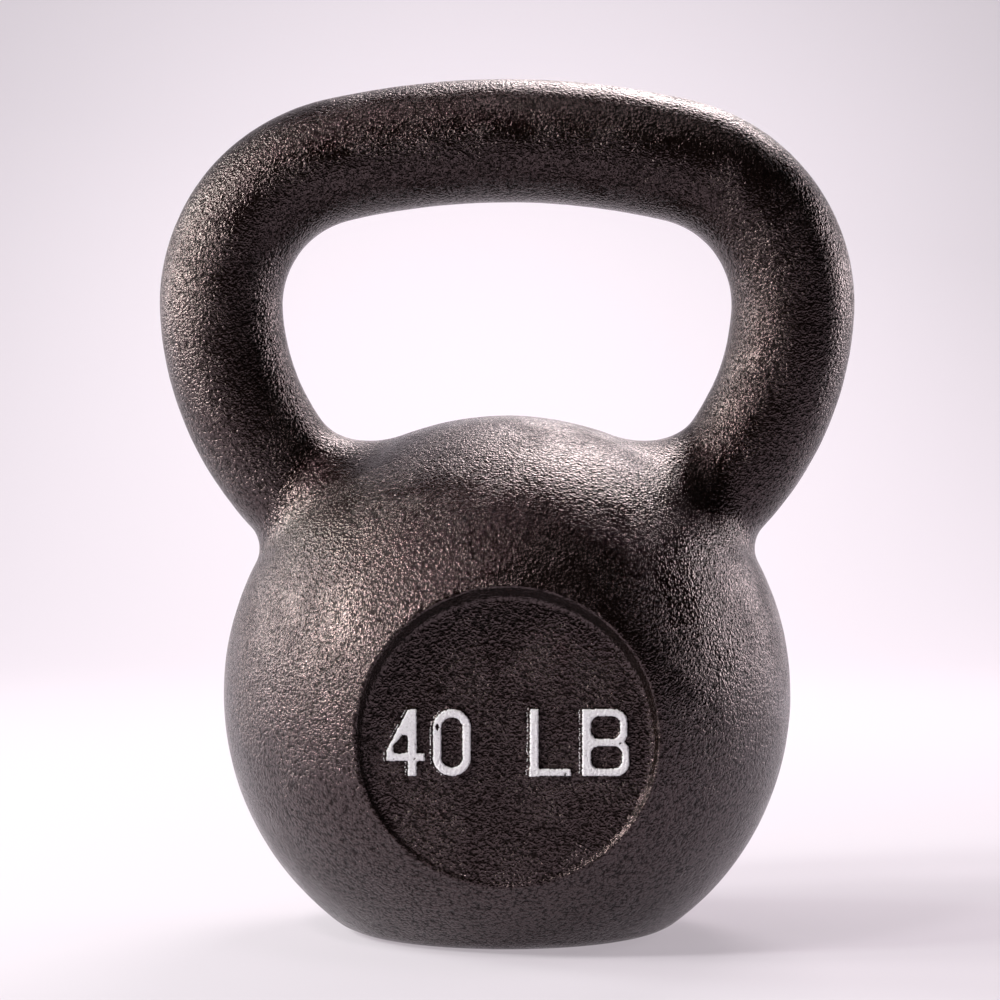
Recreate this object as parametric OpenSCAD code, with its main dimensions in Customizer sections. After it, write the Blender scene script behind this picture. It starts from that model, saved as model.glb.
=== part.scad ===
// Cast-iron kettlebell
//
// A solid ball stands on a flat base and carries a round bar handle. The bar is a gentle arch over the
// top, a tight corner at each side and a horn that curves back in to meet the ball square to its surface.
// The front of the ball is cut back to a flat round floor, and the weight mark stands proud of that floor
// with a film of white paint on each character.
//
// Millimetres, +Z up. The origin is the centre of the base, the front is -Y and the grip runs along X.

/* [Ball] */
// Diameter of the ball
ball_d = 163.5; // [135:0.5:200]
// Diameter of the flat base
base_d = 90; // [60:1:110]

/* [Handle] */
// Height of the top of the handle above the base
overall_h = 245; // [225:0.5:300]
// Width across the outside of the handle
handle_w = 200; // [180:0.5:240]
// Thickness of the round bar
bar_d = 35.5; // [28:0.1:42]
// Radius of the arch of the grip, along the middle of the bar
crown_r = 217.5; // [150:0.5:400]
// Radius of the two upper corners, along the middle of the bar
corner_r = 42.6; // [32:0.1:50]
// Angle that each upper corner turns through
corner_turn = 80; // [60:1:90]
// Angle from upright at which the horns meet the ball
root_angle = 45.5; // [40:0.5:55]
// Radius of the fillet round the foot of each horn
root_fillet = 7; // [4:0.5:12]

/* [Face] */
// Diameter of the flat floor of the face
face_d = 79; // [70:0.5:92]
// How far the centre of the face lies below the centre of the ball
face_drop = 7.7; // [0:0.1:12]
// Height of the wall round the floor at its lowest point, where it all but runs out
face_step = 0.4; // [0.2:0.1:2]
// Draft of that wall, in degrees
face_draft = 22; // [5:1:35]

/* [Weight mark] */
// Height of the characters
mark_h = 18.2; // [12:0.1:20]
// Width of their strokes
mark_stroke = 2.4; // [1.6:0.1:3]
// How far they stand proud of the floor
mark_raise = 1.2; // [0.6:0.1:2]
// Width of the four
four_w = 10.6; // [9:0.1:13]
// How far its crossbar runs out past its upright
four_tail = 2.3; // [1:0.1:3]
// Height of its crossbar above its foot
four_bar = 4; // [2:0.1:7]
// Width of the zero
zero_w = 10.3; // [8:0.1:13]
// Width of the L
l_w = 11.2; // [9:0.1:14]
// Width of the B
b_w = 12.8; // [10:0.1:14]
// How much narrower its upper bowl is than its lower one
b_step = 0.8; // [0:0.1:2]
// Gap between the two figures
figure_gap = 2.2; // [1.5:0.1:4]
// Gap between the two letters
letter_gap = 3; // [1.5:0.1:4]
// Gap between the number and its unit
word_gap = 16; // [8:0.5:18]
// Thickness of the white paint
paint_t = 0.2; // [0.1:0.05:0.4]
// Bare rim between the paint and the edge of a stroke
paint_rim = 0.15; // [0.05:0.05:0.4]

/* [Hidden] */
$fn = 96;

IRON = [0.13, 0.115, 0.11];
PAINT = [0.92, 0.91, 0.92];

// How deep a raised shape is rooted in the metal under it
ROOTED = 1;
// How far a cut runs past the surface that it opens
CLEAR = 20;
// How far a fillet bites into the two surfaces it joins, so that they cross instead of just touching
FILLET_BITE = 0.6;
// Every second stretch of the bar is this much thinner in radius and runs this far into its neighbours,
// so that each joint is a clean small step
BAR_STEP = 0.04;
BAR_LAP = 1;
// A bend of less than this many degrees is made straight
STRAIGHT = 0.5;

// --- Arcs by their two ends
// The unit vector along a heading
function along(heading) = [cos(heading), sin(heading)];
// The direction of a vector
function direction(v) = atan2(v.y, v.x);
// An angle brought to between -180 and 180
function wrapped(angle) = angle - 360 * round(angle / 360);
// How far an arc that leaves p on a heading turns left to reach q: its chord halves the turn
function bend(p, heading, q) = 2 * wrapped(direction(q - p) - heading);
// The angle that a length takes up along a bend
function turn(length, r) = length / r * 180 / PI;

// --- Ball
ball_r = ball_d / 2;
ball_z = sqrt(pow(ball_r, 2) - pow(base_d / 2, 2));

// --- Handle: the middle line of its right half, in the handle's own plane, from the centre of the ball.
// From the ball up it is a lower horn, an upper horn, a corner and half of the crown, four arcs that run
// into each other without a kink. A heading is counted from +X and turns left.
bar_r = bar_d / 2;
crown_top = overall_h - ball_z - bar_r;
crown_turn = asin((handle_w / 2 - bar_r - corner_r) / (crown_r - corner_r));
corner_centre = [0, crown_top - crown_r] + (crown_r - corner_r) * along(90 - crown_turn);
crown_start = corner_centre + corner_r * along(90 - crown_turn);
corner_heading = 180 - crown_turn - corner_turn;
corner_start = corner_centre + corner_r * along(corner_heading - 90);
// The lower horn leaves the ball square to its surface
root_heading = 90 - root_angle;
root = ball_r * along(root_heading);
// The two arcs of the horn meet midway between the ends of two equal tangents, from the root and from the
// corner, which are as long as the gap between those ends allows
span = corner_start - root;
both_ways = along(root_heading) + along(corner_heading);
spread = 1 - along(root_heading) * along(corner_heading);
tangent = (sqrt(pow(span * both_ways, 2) + 2 * spread * span * span) - span * both_ways) / (2 * spread);
horn_joint = (root + tangent * along(root_heading) + corner_start - tangent * along(corner_heading)) / 2;
joint_heading = root_heading + bend(root, root_heading, horn_joint);

// --- Face: the floor is flat, square to Y, and its wall is lowest where the ball curves back most
face_r = face_d / 2;
face_z = ball_z - face_drop;
face_y = face_step - sqrt(pow(ball_r, 2) - pow(face_drop + face_r, 2));

// --- Weight mark: left edges of the characters, with the whole mark centred on the floor
mark_w = four_w + figure_gap + zero_w + word_gap + l_w + letter_gap + b_w;
four_x = -mark_w / 2;
zero_x = four_x + four_w + figure_gap;
l_x = zero_x + zero_w + word_gap;
b_x = l_x + l_w + letter_gap;

// ---------------------------------------------------------------- Outlines of the characters

// The four: an upright, a crossbar and a slanting stroke from the top to the crossbar's left end.
// All strokes are as wide as the rim leaves them.
module four_outline(rim = 0) {
    stroke = mark_stroke - 2 * rim;
    upright_x = four_w - four_tail - mark_stroke + rim;
    bar_y = four_bar + rim;
    // The slant's outer edge goes from the crossbar's left end to the top of the upright
    rise = mark_h - rim - bar_y;
    slant = atan2(rise, upright_x - rim);
    slant_w = stroke / sin(slant);
    translate([upright_x, rim]) square([stroke, mark_h - 2 * rim]);
    translate([rim, bar_y]) square([four_w - 2 * rim, stroke]);
    polygon([
        [rim, bar_y],
        [rim + slant_w, bar_y],
        [upright_x + stroke, mark_h - rim - (slant_w - stroke) * tan(slant)],
        [upright_x + stroke, mark_h - rim],
        [upright_x, mark_h - rim]
    ]);
}

// A slot shape with round ends, standing upright
module upright_slot(w, h) {
    translate([0, w / 2]) square([w, h - w]);
    translate([w / 2, w / 2]) circle(d = w);
    translate([w / 2, h - w / 2]) circle(d = w);
}

module zero_outline(rim = 0) {
    inset = mark_stroke - rim;
    difference() {
        translate([rim, rim]) upright_slot(zero_w - 2 * rim, mark_h - 2 * rim);
        translate([inset, inset]) upright_slot(zero_w - 2 * inset, mark_h - 2 * inset);
    }
}

module l_outline(rim = 0) {
    stroke = mark_stroke - 2 * rim;
    translate([rim, rim]) square([stroke, mark_h - 2 * rim]);
    translate([rim, rim]) square([l_w - 2 * rim, stroke]);
}

// A D shape: straight on the left, a half circle on the right
module d_shape(w, h) {
    square([w - h / 2, h]);
    translate([w - h / 2, h / 2]) circle(d = h);
}

// One bowl of the B, from its foot at y
module b_bowl(y, w, h, rim) {
    inset = mark_stroke - rim;
    difference() {
        translate([rim, y + rim]) d_shape(w - 2 * rim, h - 2 * rim);
        translate([inset, y + inset]) d_shape(w - 2 * inset, h - 2 * inset);
    }
}

module b_outline(rim = 0) {
    // The bowls share the middle stroke
    bowl_h = (mark_h + mark_stroke) / 2;
    b_bowl(0, b_w, bowl_h, rim);
    b_bowl(mark_h - bowl_h, b_w - b_step, bowl_h, rim);
}

// ---------------------------------------------------------------- Places

// Stands a flat shape, drawn with its left foot at the origin, on the floor of the face
module on_face(x, lift) {
    translate([x, face_y - lift, face_z - mark_h / 2]) rotate([90, 0, 0]) children();
}

// Brings what is drawn about the centre of the ball, in the handle's plane, to its place
module in_handle_plane() {
    translate([0, 0, ball_z]) rotate([90, 0, 0]) children();
}

// ---------------------------------------------------------------- Ball

// What is cut from the ball: a cone that widens outwards from the floor
module face_cut() {
    translate([0, face_y, face_z])
        rotate([90, 0, 0])
            cylinder(h = CLEAR, r1 = face_r, r2 = face_r + CLEAR * tan(face_draft));
}

module raised(x) {
    on_face(x, -ROOTED) linear_extrude(height = mark_raise + ROOTED) children();
}

module ball() {
    color(IRON) {
        difference() {
            translate([0, 0, ball_z]) sphere(r = ball_r);
            translate([-ball_r, -ball_r, -ball_r]) cube([ball_d, ball_d, ball_r]);
            face_cut();
        }
        raised(four_x) four_outline();
        raised(zero_x) zero_outline();
        raised(l_x) l_outline();
        raised(b_x) b_outline();
    }
}

// ---------------------------------------------------------------- Handle

// A stretch of round bar that leaves p on a heading and bends to reach q, run on past each end by a lap
module bar(p, heading, q, r, lap_p = 0, lap_q = 0) {
    turned = bend(p, heading, q);
    chord = norm(q - p);
    if (abs(turned) < STRAIGHT) {
        translate(p - lap_p * along(heading)) rotate([0, 90, heading])
            cylinder(h = lap_p + chord + lap_q, r = r);
    } else {
        side = sign(turned);
        bend_r = chord / (2 * sin(abs(turned) / 2));
        centre = p + side * bend_r * along(heading + 90);
        before = turn(side > 0 ? lap_p : lap_q, bend_r);
        after = turn(side > 0 ? lap_q : lap_p, bend_r);
        first = heading - side * 90 + min(0, turned) - before;
        translate(centre) rotate([0, 0, first])
            rotate_extrude(angle = before + abs(turned) + after) translate([bend_r, 0]) circle(r = r);
    }
}

// The foot of a horn, swelling out to the ball in a hollow fillet all round
module root_collar() {
    axis_gap = bar_r + root_fillet - FILLET_BITE;
    fillet_y = sqrt(pow(ball_r + root_fillet - FILLET_BITE, 2) - pow(axis_gap, 2));
    foot_y = ball_r * cos(root_angle) / 2;
    rotate([0, 0, -root_angle]) rotate([-90, 0, 0]) rotate_extrude() difference() {
        translate([0, foot_y]) square([axis_gap, fillet_y - foot_y]);
        translate([axis_gap, fillet_y]) circle(r = root_fillet);
    }
}

module half_handle() {
    // The lower horn starts well inside the ball
    bar(root, root_heading, horn_joint, bar_r, lap_p = bar_r / 2);
    bar(horn_joint, joint_heading, corner_start, bar_r - BAR_STEP, BAR_LAP, BAR_LAP);
    bar(corner_start, corner_heading, crown_start, bar_r);
    root_collar();
}

module handle() {
    color(IRON) difference() {
        in_handle_plane() {
            bar(crown_start, 180 - crown_turn, [-crown_start.x, crown_start.y], bar_r - BAR_STEP,
                BAR_LAP, BAR_LAP);
            half_handle();
            mirror([1, 0, 0]) half_handle();
        }
        translate([0, 0, ball_z]) sphere(r = ball_r);
    }
}

// ---------------------------------------------------------------- White paint on the mark

module film(x) {
    color(PAINT) on_face(x, mark_raise) linear_extrude(height = paint_t) children();
}

module paint_four() { film(four_x) four_outline(paint_rim); }
module paint_zero() { film(zero_x) zero_outline(paint_rim); }
module paint_l() { film(l_x) l_outline(paint_rim); }
module paint_b() { film(b_x) b_outline(paint_rim); }

ball();
handle();
paint_four();
paint_zero();
paint_l();
paint_b();
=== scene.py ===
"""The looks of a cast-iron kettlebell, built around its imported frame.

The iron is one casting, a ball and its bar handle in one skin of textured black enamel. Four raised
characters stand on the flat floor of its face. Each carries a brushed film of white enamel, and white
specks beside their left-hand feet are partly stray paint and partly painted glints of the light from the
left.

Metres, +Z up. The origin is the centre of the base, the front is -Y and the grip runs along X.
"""

import logging
import math
from dataclasses import dataclass
from enum import Enum
from typing import Callable

import bmesh
import bpy
import numpy as np
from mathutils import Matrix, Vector


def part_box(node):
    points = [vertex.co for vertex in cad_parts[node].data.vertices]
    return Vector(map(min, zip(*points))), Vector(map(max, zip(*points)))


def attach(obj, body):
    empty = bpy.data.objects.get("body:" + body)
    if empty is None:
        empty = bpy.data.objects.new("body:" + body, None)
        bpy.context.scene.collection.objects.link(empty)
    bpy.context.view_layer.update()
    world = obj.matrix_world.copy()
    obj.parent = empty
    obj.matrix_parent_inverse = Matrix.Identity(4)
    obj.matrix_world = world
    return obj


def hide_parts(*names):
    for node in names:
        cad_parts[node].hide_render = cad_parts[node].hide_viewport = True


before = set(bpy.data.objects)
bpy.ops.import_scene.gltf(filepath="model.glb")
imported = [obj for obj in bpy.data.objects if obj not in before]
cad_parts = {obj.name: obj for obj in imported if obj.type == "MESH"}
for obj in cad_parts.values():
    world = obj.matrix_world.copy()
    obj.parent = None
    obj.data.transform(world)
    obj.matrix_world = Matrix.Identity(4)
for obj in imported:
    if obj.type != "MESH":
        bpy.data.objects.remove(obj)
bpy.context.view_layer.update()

MM = 0.001
LOG = logging.getLogger("kettlebell")

Array = np.ndarray
Shape = Callable[[Array], Array]
Colour = tuple[float, float, float]


class Slot(Enum):
    """Material slots of the record."""

    IRON = "enamelled_iron"
    PAINT = "white_paint"


# ------------------------------------------------------------------------------------- shape rules


def along(heading: float) -> Array:
    """Return the unit vector along a heading, in radians from +X, in the handle's plane."""
    return np.array([math.cos(heading), math.sin(heading)])


def ramp(values: Array, start: float, end: float) -> Array:
    """Step smoothly from 0 to 1.

    Args:
        values: What is compared with start and end.
        start: Where the step leaves 0.
        end: Where it reaches 1.

    Returns:
        One number between 0 and 1 for each value.
    """
    share = np.clip((values - start) / (end - start), 0.0, 1.0)
    return share * share * (3.0 - 2.0 * share)


def join(first: Array, second: Array, fillet: Array | float) -> Array:
    """Join two shapes with a round fillet where they meet.

    Args:
        first: Signed distances to the first shape, negative inside.
        second: Signed distances to the second shape.
        fillet: Radius of the fillet.

    Returns:
        Signed distances to the two shapes as one.
    """
    corner = np.hypot(np.maximum(fillet - first, 0.0), np.maximum(fillet - second, 0.0))
    return np.maximum(fillet, np.minimum(first, second)) - corner


def trim(first: Array, second: Array, rounding: Array | float) -> Array:
    """Keep what is inside both of two shapes, with the edge between them rounded.

    Args:
        first: Signed distances to the first shape, negative inside.
        second: Signed distances to the second shape.
        rounding: Radius of the edge.

    Returns:
        Signed distances to what both shapes hold.
    """
    return -join(-first, -second, rounding)


@dataclass(frozen=True)
class Waves:
    """A smooth random field, summed from plane waves of about one pitch.

    Attributes:
        pitch: Distance from crest to crest.
        seed: Seed of the waves' directions and phases.
        count: Number of waves.
    """

    pitch: float
    seed: int
    count: int = 36

    def at(self, points: Array) -> Array:
        """Read the field.

        Args:
            points: Places, one row each.

        Returns:
            One number for each row, mostly between -1 and 1.
        """
        draw = np.random.default_rng(self.seed)
        headings = draw.normal(size=(self.count, points.shape[1]))
        headings /= np.linalg.norm(headings, axis=1, keepdims=True)
        rates = 2.0 * math.pi / self.pitch * draw.uniform(0.6, 1.5, self.count)
        phases = draw.uniform(0.0, 2.0 * math.pi, self.count)
        total = np.zeros(len(points))
        for heading, rate, phase in zip(headings, rates, phases):
            total += np.cos(points @ heading * rate + phase)
        return total / math.sqrt(self.count)


def slope(shape: Shape, points: Array, reach: float = 0.01 * MM) -> tuple[Array, Array]:
    """Measure a shape and its slope.

    Args:
        shape: The shape's signed distance.
        points: Places, one row each.
        reach: Length of the step that the slope is measured over.

    Returns:
        The distances, and the slope as one vector for each place.
    """
    distance = shape(points)
    grade = np.empty_like(points)
    for axis, step in enumerate(np.eye(points.shape[1]) * reach):
        grade[:, axis] = (shape(points + step) - distance) / reach
    return distance, grade


def settle(shape: Shape, points: Array, rounds: int = 3, longest: float = 2.0 * MM) -> Array:
    """Move points onto a shape's surface, straight along its slope.

    Args:
        shape: The shape's signed distance.
        points: Places near the surface.
        rounds: Number of corrections.
        longest: The furthest that a point moves in one correction.

    Returns:
        The moved points.
    """
    for _ in range(rounds):
        distance, grade = slope(shape, points)
        steep = np.maximum((grade * grade).sum(axis=1), 0.05)
        move = np.clip(distance / np.sqrt(steep), -longest, longest) / np.sqrt(steep)
        points = points - move[:, None] * grade
    return points


def skin_over(shape: Shape, low: Array, high: Array, step: float) -> tuple[Array, Array]:
    """Mesh a shape's surface with one vertex in each cell of a grid that the surface crosses.

    Args:
        shape: The shape's signed distance, positive all round the edge of the grid.
        low: Lowest corner of the grid.
        high: Highest corner of the grid.
        step: Size of a cell.

    Returns:
        The vertices, and quads that index them and face outwards.
    """
    axes = [np.arange(start, end + step, step) for start, end in zip(low, high)]
    counts = tuple(len(axis) for axis in axes)
    grid = np.stack(np.meshgrid(*axes, indexing="ij"), axis=-1).reshape(-1, 3)
    values = _mend(shape(grid).reshape(counts), step)
    inside = values < 0.0
    cells = tuple(count - 1 for count in counts)
    total = np.zeros(cells + (3,))
    crossings = np.zeros(cells)
    for axis in range(3):
        crossed, places = _crossings(values, inside, axes, axis)
        for first in (0, 1):
            for second in (0, 1):
                window = _window(cells, axis, first, second)
                crossings += crossed[window]
                total += np.where(crossed[window][..., None], places[window], 0.0)
    used = crossings > 0
    number = np.full(cells, -1)
    number[used] = np.arange(int(used.sum()))
    vertices = total[used] / crossings[used][:, None]
    quads = [_quads(inside, number, axis) for axis in range(3)]
    return vertices, np.concatenate(quads)


def _mend(values: Array, step: float, rounds: int = 12) -> Array:
    """Fill the corners of the grid where two parts of a shape would meet along one line or at one point.

    Args:
        values: Signed distances at the grid's corners.
        step: Size of a cell.
        rounds: The most passes that are made, because a filled corner can make a new such meeting.

    Returns:
        The distances, with every such corner brought just inside.
    """
    just_inside = -0.05 * step
    shorter, shifted = slice(None, -1), slice(1, None)
    for _ in range(rounds):
        inside = values < 0.0
        fill = np.zeros_like(inside)
        for axis in range(3):
            sides = {}
            for first, second in ((0, 0), (0, 1), (1, 0), (1, 1)):
                pick = [slice(None)] * 3
                pick[(axis + 1) % 3] = shifted if first else shorter
                pick[(axis + 2) % 3] = shifted if second else shorter
                sides[first, second] = tuple(pick)
            for one, other, free, last in (
                ((0, 0), (1, 1), (0, 1), (1, 0)),
                ((0, 1), (1, 0), (0, 0), (1, 1)),
            ):
                full = inside[sides[one]] & inside[sides[other]]
                empty = ~inside[sides[free]] & ~inside[sides[last]]
                fill[sides[free]] |= full & empty
        corners = {
            (i, j, k): tuple(shifted if high else shorter for high in (i, j, k))
            for i in (0, 1)
            for j in (0, 1)
            for k in (0, 1)
        }
        held = sum(inside[pick].astype(int) for pick in corners.values())
        for i, j, k in ((0, 0, 0), (0, 0, 1), (0, 1, 0), (1, 0, 0)):
            near, far = corners[i, j, k], corners[1 - i, 1 - j, 1 - k]
            fill[corners[1 - i, j, k]] |= inside[near] & inside[far] & (held == 2)
            fill[near] |= ~inside[near] & ~inside[far] & (held == 6)
        fill &= ~inside
        if not fill.any():
            break
        values = np.where(fill, just_inside, values)
    return values


def _crossings(values: Array, inside: Array, axes: list[Array], axis: int) -> tuple[Array, Array]:
    """Find where the surface crosses the grid's edges along one axis.

    Args:
        values: Signed distances at the grid's corners.
        inside: Which corners lie inside.
        axes: The grid's coordinates along each axis.
        axis: The axis of the edges.

    Returns:
        Which edges are crossed, and the place of each crossing.
    """
    before = [slice(None)] * 3
    after = [slice(None)] * 3
    before[axis] = slice(None, -1)
    after[axis] = slice(1, None)
    start, end = values[tuple(before)], values[tuple(after)]
    crossed = inside[tuple(before)] != inside[tuple(after)]
    share = np.where(crossed, start / np.where(crossed, start - end, 1.0), 0.0)
    shortened = [a[:-1] if i == axis else a for i, a in enumerate(axes)]
    places = np.stack(np.meshgrid(*shortened, indexing="ij"), axis=-1)
    places[..., axis] += share * (axes[axis][1] - axes[axis][0])
    return crossed, places


def _window(cells: tuple[int, ...], axis: int, first: int, second: int) -> tuple[slice, ...]:
    """Pick, for every cell, one of its four edges along an axis.

    Args:
        cells: Number of cells each way.
        axis: The axis of the edges.
        first: 0 or 1, the edge's side along the next axis.
        second: 0 or 1, its side along the axis after that.

    Returns:
        Slices into an array of the edges.
    """
    shifts = {(axis + 1) % 3: first, (axis + 2) % 3: second}
    return tuple(slice(shifts.get(i, 0), shifts.get(i, 0) + cells[i]) for i in range(3))


def _quads(inside: Array, number: Array, axis: int) -> Array:
    """Make a quad round each crossed edge along one axis.

    Args:
        inside: Which corners of the grid lie inside.
        number: The vertex of each cell, or -1.
        axis: The axis of the edges.

    Returns:
        Four vertex numbers for each quad, in order, facing outwards.
    """
    second, third = (axis + 1) % 3, (axis + 2) % 3
    inner = [slice(1, -1)] * 3
    before, after = list(inner), list(inner)
    before[axis] = slice(None, -1)
    after[axis] = slice(1, None)
    start, end = inside[tuple(before)], inside[tuple(after)]
    at = np.argwhere(start != end)
    leaving = start[tuple(at.T)]
    at[:, second] += 1
    at[:, third] += 1
    corners = []
    for back_second, back_third in ((1, 1), (0, 1), (0, 0), (1, 0)):
        cell = at.copy()
        cell[:, second] -= back_second
        cell[:, third] -= back_third
        corners.append(number[tuple(cell.T)])
    quads = np.stack(corners, axis=1)
    quads[~leaving] = quads[~leaving][:, ::-1]
    return quads


# ------------------------------------------------------------------------------------- mesh tools


def read_vertices(mesh: bpy.types.Mesh) -> Array:
    """Return a mesh's vertices as rows."""
    flat = np.empty(len(mesh.vertices) * 3)
    mesh.vertices.foreach_get("co", flat)
    return flat.reshape(-1, 3)


def write_vertices(mesh: bpy.types.Mesh, points: Array) -> None:
    """Move a mesh's vertices to the given rows."""
    mesh.vertices.foreach_set("co", points.ravel())
    mesh.update()


def add_object(name: str, data: bpy.types.ID) -> bpy.types.Object:
    """Return a new object in the scene that holds a mesh, a light or a camera.

    Args:
        name: Its name.
        data: What it holds.

    Returns:
        The object.
    """
    holder = bpy.data.objects.new(name, data)
    bpy.context.scene.collection.objects.link(holder)
    return holder


def seed_object(name: str, points: Array, edges: list[list[int]]) -> bpy.types.Object:
    """Return a new object of loose points or edges, for a node tree to grow.

    Args:
        name: Its name.
        points: Rows of coordinates.
        edges: Pairs of point numbers, or none.

    Returns:
        The object.
    """
    mesh = bpy.data.meshes.new(name)
    mesh.from_pydata(points.tolist(), edges, [])
    return add_object(name, mesh)


def piece_from(name: str, vertices: Array, faces: Array) -> bpy.types.Object:
    """Make a smooth-shaded object of a mesh.

    Args:
        name: Name of the piece.
        vertices: Rows of coordinates.
        faces: Rows of vertex numbers.

    Returns:
        The new object, linked to the scene.
    """
    mesh = bpy.data.meshes.new(name)
    sides = faces.shape[1]
    mesh.vertices.add(len(vertices))
    mesh.loops.add(faces.size)
    mesh.polygons.add(len(faces))
    mesh.vertices.foreach_set("co", vertices.ravel())
    mesh.loops.foreach_set("vertex_index", faces.ravel().astype(np.int32))
    mesh.polygons.foreach_set("loop_start", np.arange(0, faces.size, sides, dtype=np.int32))
    mesh.update(calc_edges=True)
    mesh.validate()
    mesh.shade_smooth()
    return add_object(name, mesh)


def relax(mesh: bpy.types.Mesh, shape: Shape, rounds: int, pull: float = 0.6) -> None:
    """Even out a mesh over a shape's surface, with each vertex drawn towards its neighbours.

    Args:
        mesh: The mesh to even out, near the surface.
        shape: The shape's signed distance.
        rounds: Number of passes.
        pull: How far a vertex goes towards its neighbours' middle in one pass.
    """
    points = settle(shape, read_vertices(mesh))
    ends = np.empty(len(mesh.edges) * 2, dtype=np.int32)
    mesh.edges.foreach_get("vertices", ends)
    ends = ends.reshape(-1, 2)
    here = np.concatenate([ends[:, 0], ends[:, 1]])
    there = np.concatenate([ends[:, 1], ends[:, 0]])
    neighbours = np.bincount(here, minlength=len(points))
    for _ in range(rounds):
        middle = np.stack(
            [np.bincount(here, weights=points[there, i], minlength=len(points)) for i in range(3)], axis=1
        )
        points = points + pull * (middle / neighbours[:, None] - points)
        points = settle(shape, points, rounds=1)
    write_vertices(mesh, settle(shape, points, rounds=2))


def refine(mesh: bpy.types.Mesh, wanted: Callable[[Array], Array]) -> None:
    """Halve the mesh's edges in one region.

    Args:
        mesh: The mesh to refine.
        wanted: Tells, for rows of points, which lie in the region.
    """
    chosen = wanted(read_vertices(mesh))
    work = bmesh.new()
    work.from_mesh(mesh)
    work.verts.ensure_lookup_table()
    edges = [e for e in work.edges if chosen[e.verts[0].index] and chosen[e.verts[1].index]]
    bmesh.ops.subdivide_edges(work, edges=edges, cuts=1, use_grid_fill=True)
    work.to_mesh(mesh)
    work.free()
    mesh.update()


# ------------------------------------------------------------------------------------- node trees


def plug(socket: bpy.types.NodeSocket, feed: object) -> None:
    """Feed a node's input.

    Args:
        socket: The input.
        feed: A socket that it is linked to, or a value that it takes.
    """
    if isinstance(feed, bpy.types.NodeSocket):
        socket.id_data.links.new(feed, socket)
    else:
        socket.default_value = feed


class Grower:
    """A Geometry Nodes tree under construction, with named inputs."""

    def __init__(self, name: str) -> None:
        """Start an empty tree.

        Args:
            name: Name of the tree.
        """
        self.tree = bpy.data.node_groups.new(name, "GeometryNodeTree")
        self.tree.interface.new_socket("Geometry", in_out="INPUT", socket_type="NodeSocketGeometry")
        self.tree.interface.new_socket("Geometry", in_out="OUTPUT", socket_type="NodeSocketGeometry")
        self.entry = self.tree.nodes.new("NodeGroupInput")
        self.exit = self.tree.nodes.new("NodeGroupOutput")
        self.geometry = self.entry.outputs[0]

    def ask(self, name: str, kind: str = "NodeSocketFloat") -> bpy.types.NodeSocket:
        """Add a named input to the tree.

        Args:
            name: Name of the input.
            kind: Kind of socket.

        Returns:
            The socket that carries the input's value.
        """
        self.tree.interface.new_socket(name, in_out="INPUT", socket_type=kind)
        return self.entry.outputs[name]

    def ask_all(self, *names: str) -> list[bpy.types.NodeSocket]:
        """Add several numbers to the tree's inputs and return their sockets."""
        return [self.ask(name) for name in names]

    def add(self, kind: str, *feeds: object, **settings: object) -> bpy.types.Node:
        """Add a node.

        Args:
            kind: The node's type.
            feeds: What each input takes, in order: a socket, a value, or None to leave it alone.
            settings: Settings of the node.

        Returns:
            The new node.
        """
        node = self.tree.nodes.new(kind)
        for key, value in settings.items():
            setattr(node, key, value)
        live = [socket for socket in node.inputs if socket.enabled]
        for socket, feed in zip(live, feeds):
            if feed is not None:
                plug(socket, feed)
        return node

    def feed(self, node: bpy.types.Node, **feeds: object) -> bpy.types.Node:
        """Feed a node's inputs by name, with _ for a space, and return the node.

        Args:
            node: The node.
            feeds: What its inputs take: sockets or values.

        Returns:
            The same node.
        """
        for key, feed in feeds.items():
            plug(node.inputs[key.replace("_", " ")], feed)
        return node

    def move(self, geometry: bpy.types.NodeSocket, place: object, **feeds: object) -> bpy.types.NodeSocket:
        """Return geometry moved by a vector, with any other inputs of the Transform node by name."""
        moved = self.add("GeometryNodeTransform", geometry)
        return self.feed(moved, Translation=place, **feeds).outputs[0]

    def sum(self, kind: str, first: object, second: object, third: object = None) -> bpy.types.NodeSocket:
        """Return the result of a Math node of one kind on two or three numbers."""
        return self.add("ShaderNodeMath", first, second, third, operation=kind).outputs[0]

    def end(self, geometry: bpy.types.NodeSocket) -> None:
        """Finish the tree with Realize Instances and Set Material.

        Args:
            geometry: The socket that carries the finished geometry.
        """
        material = self.ask("Material", "NodeSocketMaterial")
        real = self.add("GeometryNodeRealizeInstances", geometry)
        smooth = self.add("GeometryNodeSetShadeSmooth", real.outputs[0])
        dressed = self.add("GeometryNodeSetMaterial", smooth.outputs[0], None, material)
        self.tree.links.new(dressed.outputs[0], self.exit.inputs[0])

    def grow(self, piece: bpy.types.Object, **values: object) -> None:
        """Run the tree on a piece and keep the result as its plain mesh.

        Args:
            piece: The object that the tree starts from.
            values: The tree's inputs by name, with _ for a space.
        """
        modifier = piece.modifiers.new(self.tree.name, "NODES")
        modifier.node_group = self.tree
        for item in self.tree.interface.items_tree:
            key = item.name.replace(" ", "_")
            if item.in_out == "INPUT" and key in values:
                modifier[item.identifier] = values[key]
        graph = bpy.context.evaluated_depsgraph_get()
        mesh = bpy.data.meshes.new_from_object(piece.evaluated_get(graph))
        piece.modifiers.remove(modifier)
        old = piece.data
        piece.data = mesh
        mesh.name = piece.name
        bpy.data.meshes.remove(old)


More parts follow.
